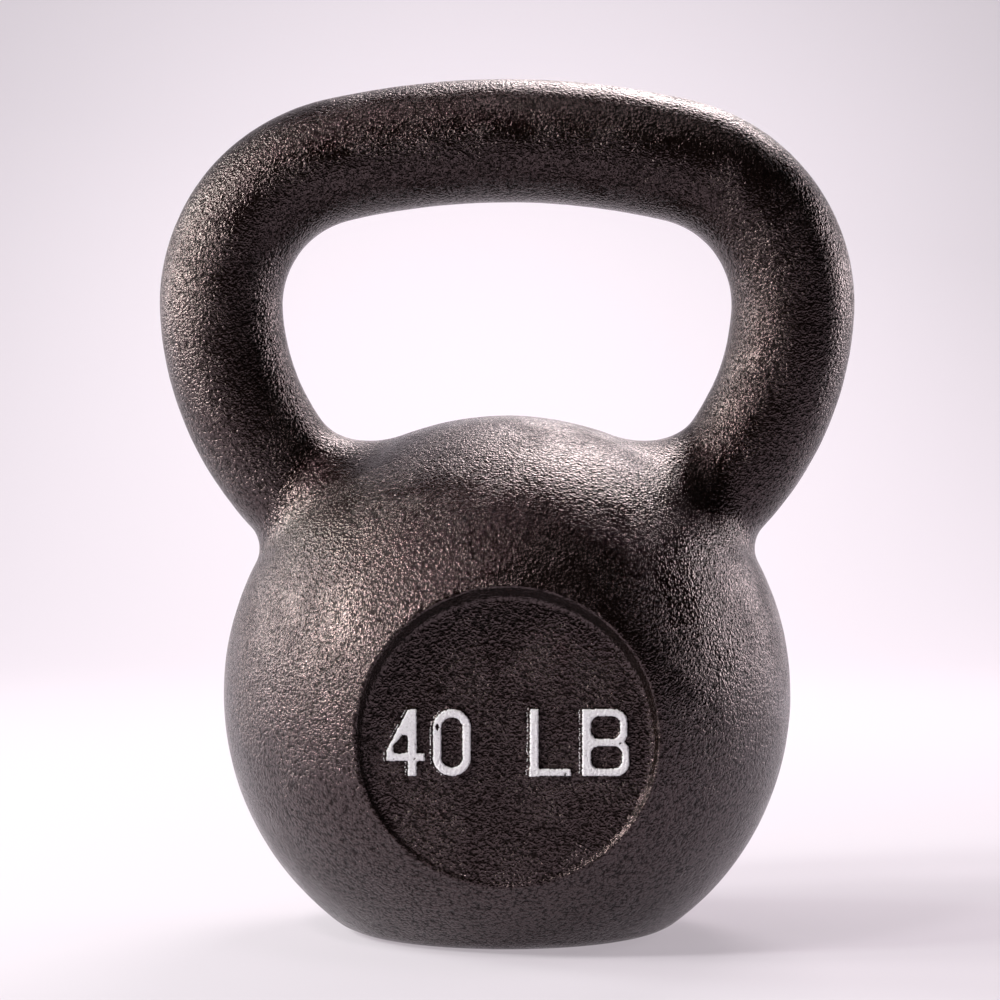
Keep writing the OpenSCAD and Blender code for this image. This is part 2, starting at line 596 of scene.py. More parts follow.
class Shader:
    """A material's node tree under construction."""

    def __init__(self, name: str) -> None:
        """Start a material with its own principled shader.

        Args:
            name: Name of the material.
        """
        self.material = bpy.data.materials.new(name)
        self.material.use_nodes = True
        self.tree = self.material.node_tree
        self.surface = self.tree.nodes["Principled BSDF"]
        self.place = self.tree.nodes.new("ShaderNodeTexCoord").outputs["Object"]

    def set(self, **values: object) -> None:
        """Set the shader's own sockets by name, with _ for a space."""
        for key, value in values.items():
            self.surface.inputs[key.replace("_", " ")].default_value = value

    def feed(self, name: str, socket: bpy.types.NodeSocket) -> None:
        """Link a pattern to one of the shader's sockets."""
        self.tree.links.new(socket, self.surface.inputs[name])

    def add(self, kind: str, settings: dict[str, object], **feeds: object) -> bpy.types.Node:
        """Add a node.

        Args:
            kind: The node's type.
            settings: Settings of the node.
            feeds: What its inputs take by name, with _ for a space: a socket or a value.

        Returns:
            The new node.
        """
        node = self.tree.nodes.new(kind)
        for key, value in settings.items():
            setattr(node, key, value)
        for key, feed in feeds.items():
            plug(node.inputs[key.replace("_", " ")], feed)
        return node

    def noise(self, pitch: float, detail: float = 2.0, roughness: float = 0.5) -> bpy.types.NodeSocket:
        """Return a noise pattern from about 0 to 1 with the given distance between its crests."""
        node = self.add(
            "ShaderNodeTexNoise", {}, Vector=self.place, Scale=1.0 / pitch, Detail=detail, Roughness=roughness
        )
        return node.outputs["Fac"]

    def cells(self, pitch: float, smoothness: float) -> bpy.types.NodeSocket:
        """Return a pattern of rounded cells with the given distance between them."""
        node = self.add(
            "ShaderNodeTexVoronoi",
            {"feature": "SMOOTH_F1"},
            Vector=self.place,
            Scale=1.0 / pitch,
            Smoothness=smoothness,
        )
        return node.outputs["Distance"]

    def span(
        self, value: bpy.types.NodeSocket, low: float, high: float, start: float, end: float
    ) -> bpy.types.NodeSocket:
        """Map a number from one range to another, smoothly and held at the ends.

        Args:
            value: The number.
            low: Start of the range that it comes from.
            high: End of that range.
            start: What low becomes.
            end: What high becomes.

        Returns:
            The mapped number.
        """
        node = self.add("ShaderNodeMapRange", {"interpolation_type": "SMOOTHSTEP"})
        for socket, feed in zip(node.inputs, (value, low, high, start, end)):
            plug(socket, feed)
        return node.outputs[0]

    def math(self, kind: str, first: object, second: object) -> bpy.types.NodeSocket:
        """Return the result of a Math node of one kind on two numbers.

        Args:
            kind: What the node does.
            first: A socket or a number.
            second: A socket or a number.

        Returns:
            The result.
        """
        node = self.add("ShaderNodeMath", {"operation": kind})
        for socket, feed in zip(node.inputs, (first, second)):
            plug(socket, feed)
        return node.outputs[0]

    def reckon(self, kind: str, first: object, second: object = None) -> bpy.types.Node:
        """Add a Vector Math node of one kind on one or two vectors.

        Args:
            kind: What the node does.
            first: A socket or a vector.
            second: A socket or a vector, if the kind takes two.

        Returns:
            The new node.
        """
        node = self.add("ShaderNodeVectorMath", {"operation": kind})
        plug(node.inputs[0], first)
        if second is not None:
            plug(node.inputs[1], second)
        return node

    def blend(self, share: bpy.types.NodeSocket, first: Colour, second: Colour) -> bpy.types.NodeSocket:
        """Mix two colours.

        Args:
            share: How much of the second colour shows.
            first: The first colour.
            second: The second colour.

        Returns:
            The mixed colour.
        """
        node = self.add("ShaderNodeMix", {"data_type": "RGBA"})
        factor, colours = node.inputs[0], (node.inputs[6], node.inputs[7])
        plug(factor, share)
        for socket, colour in zip(colours, (first, second)):
            plug(socket, (*colour, 1.0))
        return node.outputs[2]

    def bump(
        self, height: bpy.types.NodeSocket, depth: float, under: bpy.types.NodeSocket | None = None
    ) -> bpy.types.NodeSocket:
        """Turn a height pattern into a normal.

        Args:
            height: The pattern.
            depth: Height of its crests over its hollows.
            under: A normal that this one is laid over.

        Returns:
            The normal.
        """
        node = self.add("ShaderNodeBump", {}, Height=height, Distance=depth, Strength=1.0)
        if under is not None:
            plug(node.inputs["Normal"], under)
        return node.outputs["Normal"]


# ------------------------------------------------------------------------------------- finishes


@dataclass(frozen=True)
class TexturedEnamel:
    """Black enamel over sand-cast iron: a fine pebbled grain with a soft gloss.

    Attributes:
        deep: Colour in the hollows.
        crest: Colour on the crests, a little browner.
        painted_sheen_tint: Pink tint of its gloss, a painted reflection colour that stands in for the pink of
            the studio light.
        grain: Distance between the pebbles.
        grain_depth: Height of the pebbles.
        swell: Distance between the broad dips of the skin.
        swell_depth: Depth of those dips.
        polish: Roughness where the enamel lies smooth.
        matt: Roughness where it lies thin.
        patch: Distance between the places where it lies smooth and those where it lies thin.
    """

    deep: Colour = (0.0030, 0.0014, 0.0011)
    crest: Colour = (0.0060, 0.0031, 0.0026)
    painted_sheen_tint: Colour = (1.0, 0.76, 0.78)
    grain: float = 1.0 * MM
    grain_depth: float = 0.40 * MM
    swell: float = 2.0 * MM
    swell_depth: float = 0.16 * MM
    polish: float = 0.15
    matt: float = 0.22
    patch: float = 14.0 * MM

    def material(self) -> bpy.types.Material:
        """Build the material.

        Returns:
            The finished material.
        """
        enamel = Shader("textured_black_enamel")
        pebbles = enamel.cells(self.grain, 0.55)
        # Painted reflection colour: the gloss is tinted pink for the studio light's pink, not for the
        # enamel's own colour.
        enamel.set(Specular_Tint=(*self.painted_sheen_tint, 1.0))
        grit = enamel.noise(self.grain * 0.5, 1.0, 0.5)
        patches = enamel.noise(self.patch, 2.0, 0.5)
        strength = enamel.span(patches, 0.35, 0.7, 0.65, 1.2)
        rough_grain = enamel.math("SUBTRACT", grit, enamel.math("MULTIPLY", pebbles, 0.7))
        grain = enamel.math("MULTIPLY", rough_grain, strength)
        swell = enamel.noise(self.swell, 2.0, 0.5)
        normal = enamel.bump(swell, self.swell_depth)
        enamel.feed("Normal", enamel.bump(grain, self.grain_depth, normal))
        tone = enamel.span(rough_grain, -0.15, 0.45, 0.0, 1.0)
        enamel.feed("Base Color", enamel.blend(tone, self.deep, self.crest))
        enamel.feed("Specular IOR Level", enamel.span(rough_grain, -0.10, 0.30, 0.15, 0.9))
        enamel.feed("Roughness", enamel.span(patches, 0.35, 0.7, self.polish, self.matt))
        return enamel.material


@dataclass(frozen=True)
class WhiteEnamel:
    """White enamel brushed by hand over the tops of raised characters.

    Attributes:
        fresh: Colour where the paint is clean.
        soiled: Colour where black shows through or dirt has settled.
        ripple: Distance between the marks of the brush.
        ripple_depth: Height of those marks.
    """

    fresh: Colour = (0.84, 0.82, 0.86)
    soiled: Colour = (0.50, 0.47, 0.50)
    ripple: float = 0.7 * MM
    ripple_depth: float = 0.06 * MM

    def material(self) -> bpy.types.Material:
        """Build the material.

        Returns:
            The finished material.
        """
        paint = Shader("brushed_white_enamel")
        ripple = paint.noise(self.ripple, 3.0, 0.6)
        cover = paint.span(paint.noise(self.ripple * 0.7, 3.0, 0.6), 0.25, 0.5, 1.0, 0.0)
        paint.feed("Base Color", paint.blend(cover, self.fresh, self.soiled))
        paint.feed("Roughness", paint.span(ripple, 0.3, 0.7, 0.38, 0.6))
        paint.feed("Normal", paint.bump(ripple, self.ripple_depth))
        return paint.material


@dataclass(frozen=True)
class SeamlessPaper:
    """Pale matt paper for the floor and the wall behind, which glows itself with a painted pool of light
    behind the object.

    Attributes:
        colour: Colour of the paper.
        pool: Centre of the pool of light.
        reach: How far the pool reaches each way.
        bright: Light that the paper gives off in the middle of the pool.
        dim: Light that it gives off outside it.
        glow: Colour of that light.
        fibre: Distance between the paper's fibres.
    """

    colour: Colour = (0.33, 0.325, 0.36)
    pool: tuple[float, float, float] = (0.0, 1.6, 0.20)
    reach: tuple[float, float, float] = (0.62, 2.2, 0.50)
    bright: float = 0.76
    dim: float = 0.38
    glow: Colour = (1.0, 0.90, 0.975)
    fibre: float = 1.5 * MM

    def material(self) -> bpy.types.Material:
        """Build the material.

        Returns:
            The finished material.
        """
        paper = Shader("seamless_paper")
        paper.set(Roughness=0.9, Specular_IOR_Level=0.1, Emission_Color=(*self.glow, 1.0))
        fibre = paper.noise(self.fibre, 2.0, 0.5)
        tone = tuple(0.97 * part for part in self.colour)
        paper.feed("Base Color", paper.blend(fibre, tone, self.colour))
        # Painted light: the paper glows, brightest in a pool behind the object and dimmer elsewhere.
        from_pool = paper.reckon("SUBTRACT", paper.place, self.pool)
        scaled = paper.reckon("DIVIDE", from_pool.outputs[0], self.reach)
        away = paper.reckon("LENGTH", scaled.outputs[0])
        paper.feed("Emission Strength", paper.span(away.outputs["Value"], 0.0, 1.0, self.bright, self.dim))
        return paper.material


# ------------------------------------------------------------------------------------- the frame's places


@dataclass(frozen=True)
class Places:
    """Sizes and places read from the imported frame.

    Attributes:
        ball_r: Radius of the ball.
        ball_z: Height of its centre.
        half_w: Half the width across the handle.
        top: Height of the handle's top.
        face_y: Where the floor of the face lies along Y.
        face_z: Height of its centre.
        raised: How far the characters stand proud of the floor.
    """

    ball_r: float
    ball_z: float
    half_w: float
    top: float
    face_y: float
    face_z: float
    raised: float = 1.2 * MM

    @classmethod
    def read(cls) -> "Places":
        """Read the places from the nodes' boxes.

        Returns:
            The places.
        """
        ball_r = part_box("ball")[1][1]
        handle_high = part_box("handle")[1]
        film_low, film_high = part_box("paint_zero")
        return cls(
            ball_r=ball_r,
            ball_z=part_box("ball")[1][2] - ball_r,
            half_w=handle_high[0],
            top=handle_high[2],
            face_y=film_high[1] + cls.raised,
            face_z=(film_low[2] + film_high[2]) / 2.0,
        )


# ------------------------------------------------------------------------------------- the casting


@dataclass(frozen=True)
class Bend:
    """A stretch of the bar's middle line, an arc between two points.

    Attributes:
        start: First point, in the handle's plane.
        heading: Heading on which the arc leaves it, in radians.
        end: Last point.
    """

    start: Array
    heading: float
    end: Array

    @property
    def turned(self) -> float:
        """Angle that the arc turns left through, twice that from its heading to its chord."""
        chord = self.end - self.start
        half = math.atan2(chord[1], chord[0]) - self.heading
        return 2.0 * (half - 2.0 * math.pi * round(half / (2.0 * math.pi)))

    @property
    def radius(self) -> float:
        """Radius of the arc."""
        return float(np.linalg.norm(self.end - self.start)) / (2.0 * math.sin(abs(self.turned) / 2.0))

    @property
    def centre(self) -> Array:
        """Centre of the arc."""
        side = math.copysign(1.0, self.turned)
        return self.start + side * self.radius * along(self.heading + math.pi / 2.0)

    def point(self, share: Array) -> Array:
        """Return the points at the given shares of the arc's length, as rows.

        Args:
            share: Shares from 0 at its start to 1 at its end.

        Returns:
            One row for each share.
        """
        side = math.copysign(1.0, self.turned)
        angle = self.heading - side * math.pi / 2.0 + share * self.turned
        return self.centre + self.radius * np.stack([np.cos(angle), np.sin(angle)], axis=-1)

    def distance(self, points: Array) -> Array:
        """Measure how far points in the handle's plane are from the arc.

        Args:
            points: Rows of two coordinates.

        Returns:
            One distance for each row.
        """
        middle = self.point(np.array([0.5]))[0] - self.centre
        middle /= np.linalg.norm(middle)
        across = np.array([-middle[1], middle[0]])
        from_centre = points - self.centre
        angle = np.arctan2(from_centre @ across, from_centre @ middle)
        half = abs(self.turned) / 2.0
        angle = np.clip(angle, -half, half)
        nearest = self.radius * (np.cos(angle)[:, None] * middle + np.sin(angle)[:, None] * across)
        return np.linalg.norm(from_centre - nearest, axis=1)


@dataclass
class Casting:
    """The iron body: a ball on a flat base, its bar handle and the flat floor of its face.

    Attributes:
        at: The frame's places.
        bar_d: Thickness of the bar.
        crown_r: Radius of the arch of the grip, along the middle of the bar.
        corner_r: Radius of the two upper corners.
        corner_turn: Angle that each corner turns through.
        root_angle: Angle from upright at which the horns meet the ball.
        outer_fillet: Fillet at the foot of a horn on its outer side.
        inner_fillet: The same on the side of the window.
        crown_dip: How much the ball's top is flattened between the horns.
        crown_from: Height on the ball at which that starts, as a share of its radius.
        base_edge: Rounding of the base's rim.
        face_r: Radius of the floor of the face.
        face_draft: Draft of the wall round it.
        lip: Rounding of the wall's outer edge.
        floor_fillet: Fillet between the wall and the floor.
        cone_h: Height of the cone that is cut away in front of the floor.
        cell: Spacing of the mesh.
        bands: How far round the edges the mesh is made finer, once for each.
        skin_seed: Seed of the unevenness that the mould leaves.
        broad: Depth and pitch of its broad swells.
        fine: Depth and pitch of its fine ones.
        flat_below: Height below which the skin gets smoother, down to the flat base.
    """

    at: Places
    bar_d: float = 35.5 * MM
    crown_r: float = 217.5 * MM
    corner_r: float = 42.6 * MM
    corner_turn: float = math.radians(80.0)
    root_angle: float = math.radians(45.5)
    outer_fillet: float = 6.0 * MM
    inner_fillet: float = 14.0 * MM
    crown_dip: float = 1.6 * MM
    crown_from: float = 0.72
    base_edge: float = 3.0 * MM
    face_r: float = 39.5 * MM
    face_draft: float = math.radians(22.0)
    lip: float = 0.9 * MM
    floor_fillet: float = 1.2 * MM
    cone_h: float = 20.0 * MM
    cell: float = 1.6 * MM
    bands: tuple[float, ...] = (3.2 * MM, 1.7 * MM)
    skin_seed: float = 4.0
    broad: tuple[float, float] = (0.22 * MM, 26.0 * MM)
    fine: tuple[float, float] = (0.20 * MM, 6.5 * MM)
    flat_below: float = 3.0 * MM

    def __post_init__(self) -> None:
        """Lay out the bar's middle line."""
        self.centre = np.array([0.0, 0.0, self.at.ball_z])
        self.bends = self._bends()

    def _bends(self) -> list[Bend]:
        """Lay out the middle line of the handle's right half, from the ball up.

        Returns:
            The lower horn, the upper horn, the corner and the whole crown.
        """
        bar_r = self.bar_d / 2.0
        crown_top = self.at.top - self.at.ball_z - bar_r
        shoulder = self.crown_r - self.corner_r
        crown_turn = math.asin((self.at.half_w - bar_r - self.corner_r) / shoulder)
        crown_heading = math.pi - crown_turn
        outwards = along(math.pi / 2 - crown_turn)
        corner_centre = np.array([0.0, crown_top - self.crown_r]) + shoulder * outwards
        crown_start = corner_centre + self.corner_r * outwards
        corner_heading = crown_heading - self.corner_turn
        corner_start = corner_centre + self.corner_r * along(corner_heading - math.pi / 2)
        root_heading = math.pi / 2 - self.root_angle
        root = self.at.ball_r * along(root_heading)
        span = corner_start - root
        both = along(root_heading) + along(corner_heading)
        spread = 1.0 - along(root_heading) @ along(corner_heading)
        reach = span @ both
        tangent = (math.sqrt(reach * reach + 2.0 * spread * (span @ span)) - reach) / (2.0 * spread)
        joint = (root + tangent * along(root_heading) + corner_start - tangent * along(corner_heading)) / 2
        lower = Bend(root, root_heading, joint)
        upper = Bend(joint, root_heading + lower.turned, corner_start)
        corner = Bend(corner_start, corner_heading, crown_start)
        crown = Bend(crown_start, crown_heading, np.array([-crown_start[0], crown_start[1]]))
        return [lower, upper, corner, crown]

    # The parts of the shape, as signed distances

    def _in_plane(self, points: Array) -> Array:
        """Return points in the handle's plane, from the ball's centre, with both halves as one."""
        return np.stack([np.abs(points[:, 0]), points[:, 2] - self.at.ball_z], axis=1)

    def _horn_side(self, points: Array) -> Array:
        """Tell which side of a horn's foot points are on: -1 in the window, 1 on the outer side."""
        across = along(-self.root_angle)
        return np.clip(self._in_plane(points) @ across / (0.5 * self.bar_d), -1.0, 1.0)

    def ball(self, points: Array) -> Array:
        """Measure the ball, a little flattened on top.

        Args:
            points: Places, one row each.

        Returns:
            Signed distances.
        """
        offset = points - self.centre
        away = np.linalg.norm(offset, axis=1)
        rise = offset[:, 2] / np.maximum(away, MM)
        return away - self.at.ball_r + self.crown_dip * ramp(rise, self.crown_from, 1.0)

    def bar(self, points: Array) -> Array:
        """Measure the bar, with a stub that runs on into the ball.

        Args:
            points: Places, one row each.

        Returns:
            Signed distances.
        """
        flat = self._in_plane(points)
        near = np.min([bend.distance(flat) for bend in self.bends], axis=0)
        axis = along(math.pi / 2 - self.root_angle)
        reach = np.clip(flat @ axis, 0.5 * self.at.ball_r, self.at.ball_r)
        near = np.minimum(near, np.linalg.norm(flat - reach[:, None] * axis, axis=1))
        return np.hypot(near, points[:, 1]) - self.bar_d / 2.0

    def cut(self, points: Array) -> Array:
        """Measure what is cut away for the face: a cone that widens outwards from the floor.

        Args:
            points: Places, one row each.

        Returns:
            Signed distances.
        """
        radial = np.hypot(points[:, 0], points[:, 2] - self.at.face_z)
        widening = (self.at.face_y - points[:, 1]) * math.tan(self.face_draft)
        return (radial - self.face_r - widening) * math.cos(self.face_draft)

    def shape(self, points: Array) -> Array:
        """Measure the whole casting.

        Args:
            points: Places, one row each.

        Returns:
            Signed distances, negative in the iron.
        """
        middle = (self.outer_fillet + self.inner_fillet) / 2.0
        fillet = middle + (self.outer_fillet - middle) * self._horn_side(points)
        body = join(self.ball(points), self.bar(points), fillet)
        body = trim(body, -points[:, 2], self.base_edge)
        recess = trim(points[:, 1] - self.at.face_y, self.cut(points), self.floor_fillet)
        return trim(body, -recess, self.lip)

    def near_edges(self, points: Array, band: float) -> Array:
        """Tell which points lie near the face's lip or its floor's fillet, or the base's rim.

        Args:
            points: Places, one row each.
            band: How near is near.

        Returns:
            One truth value for each row.
        """
        ball = np.abs(self.ball(points))
        wall = np.abs(self.cut(points))
        floor = np.abs(points[:, 1] - self.at.face_y)
        behind_floor = 2.0 * MM
        front = points[:, 1] < self.at.face_y + behind_floor
        lip = front & (wall < band) & (ball < band)
        foot = front & (wall < band) & (floor < band)
        rim = (points[:, 2] < band) & (ball < band)
        return lip | foot | rim

    # The blank and its skin

    def _path(self) -> tuple[Array, Array]:
        """Lay points along the whole middle line, from inside the ball round and back into it.

        Returns:
            The points, and the edges that chain them.
        """
        steps_each, sunk = 24, 0.6
        share = np.linspace(0.0, 1.0, steps_each, endpoint=False)
        root = self.bends[0].start
        half = [root[None, :] * sunk] + [bend.point(share) for bend in self.bends[:3]]
        right = np.concatenate(half + [self.bends[3].point(share / 2.0)])
        top = self.bends[3].point(np.array([0.5]))
        left = right[::-1] * np.array([-1.0, 1.0])
        flat = np.concatenate([right, top, left])
        points = np.stack([flat[:, 0], np.zeros(len(flat)), flat[:, 1] + self.at.ball_z], axis=1)
        steps = np.arange(len(points) - 1)
        return points, np.stack([steps, steps + 1], axis=1)

    def _blank_tree(self) -> Grower:
        """Build the tree that sweeps the bar, joins it to the ball and gives both one skin.

        Returns:
            The tree.
        """
        grower = Grower("kettlebell_blank")
        bar_r, ball_r, ball_z = grower.ask_all("Bar Radius", "Ball Radius", "Ball Height")
        face_r, face_y, face_z = grower.ask_all("Face Radius", "Face Depth", "Face Height")
        face_spread, cell = grower.ask_all("Face Spread", "Cell")
        path = grower.add("GeometryNodeMeshToCurve", grower.geometry)
        ring = grower.add("GeometryNodeCurvePrimitiveCircle", 48, mode="RADIUS")
        grower.feed(ring, Radius=bar_r)
        bar = grower.add("GeometryNodeCurveToMesh", path.outputs[0], ring.outputs[0])
        grower.feed(bar, Fill_Caps=True)
        sphere = grower.add("GeometryNodeMeshUVSphere", 128, 64, ball_r)
        lift = grower.add("ShaderNodeCombineXYZ", 0.0, 0.0, ball_z)
        ball = grower.move(sphere.outputs[0], lift.outputs[0])
        whole = grower.add("GeometryNodeMeshBoolean", operation="UNION", solver="MANIFOLD")
        waste_w, waste_h = 0.4, 0.2
        box = grower.add("GeometryNodeMeshCube", (waste_w, waste_w, waste_h))
        below = grower.move(box.outputs[0], (0.0, 0.0, -waste_h / 2.0))
        wide = grower.sum("ADD", face_r, face_spread)
        funnel = grower.add("GeometryNodeMeshCone", 128, 1, 1, wide, face_r, self.cone_h)
        front = grower.add("ShaderNodeCombineXYZ", 0.0, face_y, face_z)
        cone = grower.move(funnel.outputs[0], front.outputs[0], Rotation=(math.pi / 2.0, 0.0, 0.0))
        for solid in (bar.outputs[0], ball):
            grower.feed(whole, Mesh_2=solid)
        cut = grower.add(
            "GeometryNodeMeshBoolean", whole.outputs[0], operation="DIFFERENCE", solver="MANIFOLD"
        )
        for waste in (below, cone):
            grower.feed(cut, Mesh_2=waste)
        cloud = grower.add("GeometryNodeMeshToVolume", cut.outputs[0], resolution_mode="VOXEL_SIZE")
        grower.feed(cloud, Voxel_Size=cell, Interior_Band_Width=grower.sum("MULTIPLY", cell, 3.0))
        skin = grower.add("GeometryNodeVolumeToMesh", cloud.outputs[0], resolution_mode="GRID")
        grower.end(skin.outputs[0])
        return grower

    def _skin_tree(self) -> Grower:
        """Build the tree that leaves the skin as uneven as a sand mould does.

        Returns:
            The tree.
        """
        grower = Grower("cast_skin")
        seed, broad, broad_pitch = grower.ask_all("Seed", "Broad Swell", "Broad Pitch")
        fine, fine_pitch, flat = grower.ask_all("Fine Swell", "Fine Pitch", "Flat Below")
        place = grower.add("GeometryNodeInputPosition").outputs[0]
        normal = grower.add("GeometryNodeInputNormal").outputs[0]
        swells = []
        for depth, pitch in ((broad, broad_pitch), (fine, fine_pitch)):
            noise = grower.add("ShaderNodeTexNoise", noise_dimensions="4D")
            grower.feed(noise, Vector=place, W=seed, Scale=grower.sum("DIVIDE", 1.0, pitch), Detail=2.0)
            inward = grower.sum("SUBTRACT", noise.outputs["Fac"], 0.75)
            swells.append(grower.sum("MULTIPLY", inward, depth))
        rise = grower.add("ShaderNodeSeparateXYZ", place).outputs[2]
        free = grower.add("ShaderNodeMapRange", rise, 0.0, flat, interpolation_type="SMOOTHSTEP").outputs[0]
        depth = grower.sum("MULTIPLY", grower.sum("ADD", *swells), free)
        offset = grower.add("ShaderNodeVectorMath", normal, operation="SCALE")
        grower.feed(offset, Scale=depth)
        moved = grower.add("GeometryNodeSetPosition", grower.geometry)
        grower.feed(moved, Offset=offset.outputs[0])
        grower.end(moved.outputs[0])
        return grower

    def build(self, enamel: bpy.types.Material) -> bpy.types.Object:
        """Build the casting.

        Args:
            enamel: The enamel that covers it.

        Returns:
            The finished piece.
        """
        points, edges = self._path()
        piece = seed_object("casting", points, edges.tolist())
        self._blank_tree().grow(
            piece,
            Bar_Radius=self.bar_d / 2.0,
            Ball_Radius=self.at.ball_r,
            Ball_Height=self.at.ball_z,
            Face_Radius=self.face_r,
            Face_Depth=self.at.face_y,
            Face_Height=self.at.face_z,
            Face_Spread=self.cone_h * math.tan(self.face_draft),
            Cell=self.cell,
            Material=enamel,
        )
        relax(piece.data, self.shape, rounds=8)
        for band in self.bands:
            refine(piece.data, lambda points, band=band: self.near_edges(points, band))
            relax(piece.data, self.shape, rounds=2)
        self._skin_tree().grow(
            piece,
            Seed=self.skin_seed,
            Broad_Swell=self.broad[0],
            Broad_Pitch=self.broad[1],
            Fine_Swell=self.fine[0],
            Fine_Pitch=self.fine[1],
            Flat_Below=self.flat_below,
            Material=enamel,
        )
        return piece

    def dress(self, piece: bpy.types.Object) -> None:
        """Tie the casting to the frame.

        Args:
            piece: The casting.
        """
        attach(piece, "root")
        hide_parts("ball", "handle")


# ------------------------------------------------------------------------------------- weight mark


def box_rule(points: Array, low: tuple, high: tuple, corner: float = 0.0) -> Array:
    """Measure a flat box with round corners.

    Args:
        points: Rows of two coordinates.
        low: Its lower left corner.
        high: Its upper right corner.
        corner: Radius of its corners.

    Returns:
        Signed distances.
    """
    middle = (np.array(low) + np.array(high)) / 2.0
    half = (np.array(high) - np.array(low)) / 2.0 - corner
    past = np.abs(points - middle) - half
    outside = np.linalg.norm(np.maximum(past, 0.0), axis=1)
    return outside + np.minimum(past.max(axis=1), 0.0) - corner


def polygon_rule(points: Array, corners: list[tuple[float, float]], corner: float = 0.0) -> Array:
    """Measure a polygon, with its edges moved outwards to round its corners.

    Args:
        points: Rows of two coordinates.
        corners: The polygon's corners, in order.
        corner: How far the edges move out, and the radius that the corners get.

    Returns:
        Signed distances.
    """
    nearest = np.full(len(points), np.inf)
    inside = np.zeros(len(points), dtype=bool)
    for start, end in zip(np.array(corners), np.array(corners[1:] + corners[:1])):
        edge = end - start
        offset = points - start
        share = np.clip(offset @ edge / (edge @ edge), 0.0, 1.0)
        nearest = np.minimum(nearest, np.linalg.norm(offset - share[:, None] * edge, axis=1))
        crossed = (start[1] > points[:, 1]) != (end[1] > points[:, 1])
        rise = edge[1] if edge[1] else 1.0
        inside ^= crossed & (points[:, 0] < start[0] + (points[:, 1] - start[1]) * edge[0] / rise)
    return np.where(inside, -nearest, nearest) - corner


